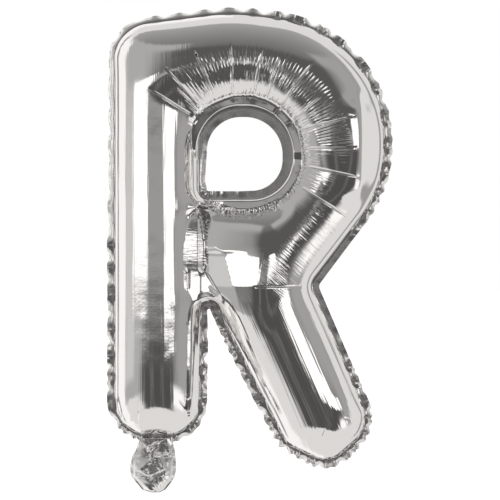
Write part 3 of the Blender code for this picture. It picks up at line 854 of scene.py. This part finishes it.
# Folds pressed into the tail's front: X and Z of both ends, height of the ridge, half width
tailFolds = [
    (-19, -162.0, 18, -162.5, -0.9, 1.6), (-12, -148.0, -3, -155.0, 1.3, 2.2),
    (-3, -155.0, 8, -147.5, 1.4, 2.2), (-3, -155.0, -2, -163.0, 1.0, 1.8),
    (-14, -173.0, 4, -160.5, 1.5, 3.0), (4, -160.5, 9, -172.5, 1.6, 3.0),
    (-14, -173.0, -3, -178.0, -1.2, 2.4), (-3, -178.0, 9, -172.5, -1.3, 2.4),
    (-18, -176.0, -2, -188.0, 1.0, 2.6), (10, -151.0, 15, -163.0, 0.9, 2.0),
    (-10, -152.0, -15, -160.0, 1.0, 2.0), (12, -166.0, 15, -181.0, 0.7, 3.0),
]
# Random ones on both sheets, somewhere between two corners
tailCrumple = {
    "folds": 46,
    "low": (-18, -190), "high": (18, -147),
    "length": (5.0, 15.0),
    "height": 0.5,
    "halfWidth": (1.0, 2.8),
}


def foldHeight(points, folds):
    height = np.zeros(len(points))
    for x0, z0, x1, z1, rise, half in folds:
        along, across, length = segmentFrame(points, (x0, z0), (x1, z1))
        beyond = np.maximum(0, np.abs(along - 0.5) - 0.5) * length
        away = np.sqrt(across ** 2 + beyond ** 2)
        height += rise * np.maximum(0, 1 - away / half) ** tail["crisp"]
    return height


def randomFolds(seed):
    random = np.random.default_rng(seed)
    folds = []
    for _ in range(tailCrumple["folds"]):
        x, z = random.uniform(tailCrumple["low"], tailCrumple["high"])
        angle = random.uniform(0, math.pi)
        reach = random.uniform(*tailCrumple["length"]) / 2
        dx, dz = reach * math.cos(angle), reach * math.sin(angle)
        rise = random.normal(0, tailCrumple["height"])
        folds.append((x - dx, z - dz, x + dx, z + dz, rise, random.uniform(*tailCrumple["halfWidth"])))
    return folds


def buildTail(material):
    heights, left, right, swelling = np.array(tail["outline"])[::-1].T       # from the bottom up
    columns, rows = tail["columns"], tail["rows"]
    z = np.repeat(np.linspace(heights[-1], heights[0], rows + 1), columns + 1)
    across = np.tile(np.linspace(-1, 1, columns + 1), rows + 1)
    low, high = np.interp(z, heights, left), np.interp(z, heights, right)
    x = (low + high) / 2 + across * (high - low) / 2
    flat = np.column_stack([x, z])
    top = smoothStep(-z, -heights[-1], -heights[-1] + tail["top"])
    mouth = smoothStep(-z, *tail["mouth"])
    rise = np.clip(1 - (np.abs(across) / (1 - tail["weld"])) ** 2, 0, 1)
    depth = np.interp(z, heights, swelling) * rise ** tail["fuller"]
    closed, more, soon = tail["gap"]
    gap = closed + more * np.maximum(np.minimum(1, rise * soon), mouth)
    edge = np.maximum(0, np.abs(across) + tail["weld"] - 1) * (high - low) / 2
    strong, fast = tail["curlWave"]
    curl = tail["curl"] * edge * (1 + strong * np.sin(z * fast + across)) * (1 - mouth)
    free = tail["weldFolds"] + (1 - tail["weldFolds"]) * rise
    for name, side, seed in tail["sheets"]:
        crumple = foldHeight(flat, randomFolds(seed))
        if side < 0:
            crumple += foldHeight(flat, tailFolds)
        dented = np.maximum(crumple * free * top, -depth * tail["deepest"])
        y = curl * top + side * (gap + depth + dented)
        points = np.column_stack([x + tail["middle"], y, z])
        faces = []
        for row in range(rows):
            for k in range(columns):
                a = row * (columns + 1) + k
                face = (a, a + 1, a + columns + 2, a + columns + 1)
                faces.append(face if side > 0 else face[::-1])
        piece = makePiece(name, points, faces, material)
        solid = piece.modifiers.new("thickness", "SOLIDIFY")
        solid.thickness = tail["thickness"] * mm
        solid.offset = -1
        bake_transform(piece)
        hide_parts(name.replace("foil", "film"))


# Finishes: colour, roughness, and heights in mm of the wrinkles pressed into the film
finishes = {
    "foil": {
        "colour": (0.93, 0.92, 0.91), "roughness": (0.05, 0.09), "grain": 0.010,
        "gathers": 0.60, "pleats": 0.08, "puckers": 1.3, "crinkles": 0.28, "streaks": 0.018},
    "weld": {"colour": (0.90, 0.89, 0.88), "roughness": (0.16, 0.30), "grain": 0.05},
    "tail": {"colour": (0.94, 0.93, 0.92), "roughness": (0.20, 0.34), "grain": 0.04},
}

# Wrinkles too fine for the mesh. A scale is waves a mm; where there are three, they are
# in three directions. Bands are start, end and softness in mm, ramps start and end.
filmWaves = [(0.03, 0.22), (0.12, 0.018)]        # on every finish: scale, height in mm
grainScale = 0.55
patchScale = 0.05
roughPatches = (-0.2, 0.25)

# Round the bowl's centre: the first scale is waves a radian, arch and side are bands in
# radians from the right, turning up
bowlGathers = {
    "scales": (38.0, 0.02, 0.05), "reach": (46, 80, 7), "arch": (0.42, 2.45, 0.12),
    "side": (-0.8, 0.5, 0.2), "sideShare": 0.25, "patches": (-0.12, 0.10), "least": 0.35}
smallPleats = {"waves": 168, "stray": 2, "reach": (58, 80, 3), "arch": (0.1, 2.3, 0.12)}
ringPuckers = {
    "scales": (25.0, 0.02, 0.05), "reach": (45.0, 49.5, 1.0), "arch": (-1.0, 2.6, 0.15),
    "teethReach": (43.5, 50.5, 1.0), "teethArch": (-2.25, -1.0, 0.12), "teethShare": 1.3}

# On the bowl's arm, the pleat, the stem and the leg: run is a direction, right and up
# on the arm, right and down on the leg
armGathers = {
    "run": (0.647, 0.763), "scales": (0.62, 0.02, 0.03), "across": (14, 44, 6), "along": (-12, 62, 8),
    "x": (0, 14), "least": 0.3}
pleatCrinkles = {
    "scales": (0.10, 0.02, 0.75), "x": -43.5, "soft": (1.0, 3.0), "z": (-19, 28, 3), "share": 0.6}
stemWrinkles = {
    "x": (-44, -52), "scales": (0.05, 0.02, 1.1), "z": (-78, -24, 12), "share": 0.22,
    "streakScales": (0.5, 0.02, 0.012), "streakShare": 7}
legStreaks = {
    "run": (0.395, 0.919), "scales": (0.45, 0.02, 0.014), "z": (-32, -50), "x": (-30, -20), "share": 12}

valveFilm = {
    "colour": (0.86, 0.88, 0.90), "scales": (0.9, 0.2, 0.25), "crease": 0.12,
    "roughness": (0.16, 0.15), "alpha": (0.62, 0.3)}     # middle, and how much the creases change it


def placeOnObject(graph):
    # X, Y and Z in mm
    x = graph.add("ShaderNodeSeparateXYZ", None, {0: graph.add("ShaderNodeTexCoord").output("Object")})
    return [axis * 1000 for axis in (x, x.output("Y"), x.output("Z"))]


def noise(graph, scales, x, y, z, detail=2.0):
    spot = graph.add("ShaderNodeCombineXYZ", None, {0: x * scales[0], 1: y * scales[1], 2: z * scales[2]})
    return graph.add("ShaderNodeTexNoise", None, {"Vector": spot, "Scale": 1.0, "Detail": detail}) - 0.5


def foilMaterial(name, finish):
    material = bpy.data.materials.new(name)
    graph = Graph(material)
    x, y, z = placeOnObject(graph)

    def evenNoise(scale):
        return noise(graph, (scale, scale, scale), x, y, z)

    broad, narrow = (evenNoise(scale) * depth for scale, depth in filmWaves)
    height = broad + narrow + evenNoise(grainScale) * finish["grain"]
    if "gathers" in finish:
        # round the counter: fine gathers that point at the bowl's centre
        acrossBowl, upBowl = (axis - float(at) for axis, at in zip((x, z), bowl["centre"]))
        angle = upBowl.maths("ARCTAN2", acrossBowl)
        radius = (acrossBowl * acrossBowl + upBowl * upBowl).maths("SQRT")
        gathers = noise(graph, bowlGathers["scales"], angle, y, radius, detail=3.0)
        arch = angle.band(*bowlGathers["arch"]) + angle.band(*bowlGathers["side"]) * bowlGathers["sideShare"]
        onBowl = radius.band(*bowlGathers["reach"]) * arch
        patchy = evenNoise(patchScale).ramp(*bowlGathers["patches"])
        height = height + gathers * onBowl * (bowlGathers["least"] + patchy) * finish["gathers"]
        # even small pleats further out
        pleats = (angle * smallPleats["waves"] + gathers * smallPleats["stray"]).maths("SINE")
        outside = radius.band(*smallPleats["reach"]) * angle.band(*smallPleats["arch"])
        height = height + pleats * outside * finish["pleats"]
        # ring's outer edge: a chain of short puckers, and teeth below the counter
        puckers = noise(graph, ringPuckers["scales"], angle, y, radius, detail=1.0)
        chain = radius.band(*ringPuckers["reach"]) * angle.band(*ringPuckers["arch"])
        teeth = radius.band(*ringPuckers["teethReach"]) * angle.band(*ringPuckers["teethArch"])
        height = height + puckers * (chain + teeth * ringPuckers["teethShare"]) * finish["puckers"]
        # bowl's arm and the top of the leg: fine gathers across their bend
        right, up = armGathers["run"]
        alongArm, acrossArm = x * right + z * up, x * up - z * right
        bend = noise(graph, armGathers["scales"], alongArm, y, acrossArm, detail=3.0)
        onArm = acrossArm.band(*armGathers["across"]) * alongArm.band(*armGathers["along"])
        onArm = onArm * x.ramp(*armGathers["x"])
        height = height + bend * onArm * (armGathers["least"] + patchy) * finish["crinkles"]
        # pleat: crinkles across both facets
        crinkles = noise(graph, pleatCrinkles["scales"], x, y, z, detail=3.0)
        upPleat = z.maths("MAXIMUM", pleat["z"]) / pleat["up"] - pleat["z"] / pleat["up"]
        fromFold = (x - pleatCrinkles["x"]).maths("ABSOLUTE")
        onPleat = (pleat["left"] - upPleat * upPleat * pleat["left"] - fromFold).ramp(*pleatCrinkles["soft"])
        onPleat = onPleat * z.band(*pleatCrinkles["z"])
        height = height + crinkles * onPleat * finish["crinkles"] * pleatCrinkles["share"]
        # stem: level wrinkles where the light fades, upright streaks all along
        onStem = x.ramp(*stemWrinkles["x"])
        level = noise(graph, stemWrinkles["scales"], x, y, z) * z.band(*stemWrinkles["z"]) * onStem
        upright = noise(graph, stemWrinkles["streakScales"], x, y, z) * onStem
        # leg: streaks along it
        right, down = legStreaks["run"]
        alongLeg, acrossLeg = x * right - z * down, x * down + z * right
        onLeg = z.ramp(*legStreaks["z"]) * x.ramp(*legStreaks["x"])
        slanted = noise(graph, legStreaks["scales"], acrossLeg, y, alongLeg) * onLeg
        lines = level * stemWrinkles["share"] + upright * stemWrinkles["streakShare"]
        lines = lines + slanted * legStreaks["share"]
        height = height + lines * finish["streaks"]
    smooth, rough = finish["roughness"]
    patches = evenNoise(patchScale).ramp(*roughPatches)
    surface(graph, {
        "Base Color": finish["colour"] + (1,), "Metallic": 1.0,
        "Roughness": smooth + patches * (rough - smooth)}, height)
    return material


def filmMaterial(name):
    # Clear film of the valve: glossy, slightly creased
    material = bpy.data.materials.new(name)
    graph = Graph(material)
    creased = noise(graph, valveFilm["scales"], *placeOnObject(graph), detail=3.0)
    roughness, alpha = (middle + creased * change for middle, change in (
        valveFilm["roughness"], valveFilm["alpha"]))
    surface(graph, {
        "Base Color": valveFilm["colour"] + (1,), "Roughness": roughness, "Alpha": alpha, "IOR": 1.5},
        creased * valveFilm["crease"])
    return material


buildCamera()
buildStudio()
buildFloor()
scene.view_settings.view_transform = "Standard"
print("camera, studio and floor made")

silver = foilMaterial("silver_foil", finishes["foil"])
weldedFoil = foilMaterial("welded_foil", finishes["weld"])
tailFoil = foilMaterial("slack_foil", finishes["tail"])
buildFilms(silver)
print("films made")
buildMargin(outerMargin, letter["outer"], 1, weldedFoil)
buildMargin(counterMargin, letter["counter"], -1, weldedFoil)
print("margins made")
buildTail(tailFoil)
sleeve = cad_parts["valve_sleeve"]
sleeve.data.materials.clear()
sleeve.data.materials.append(filmMaterial("valve_film"))
print("fill tail made")
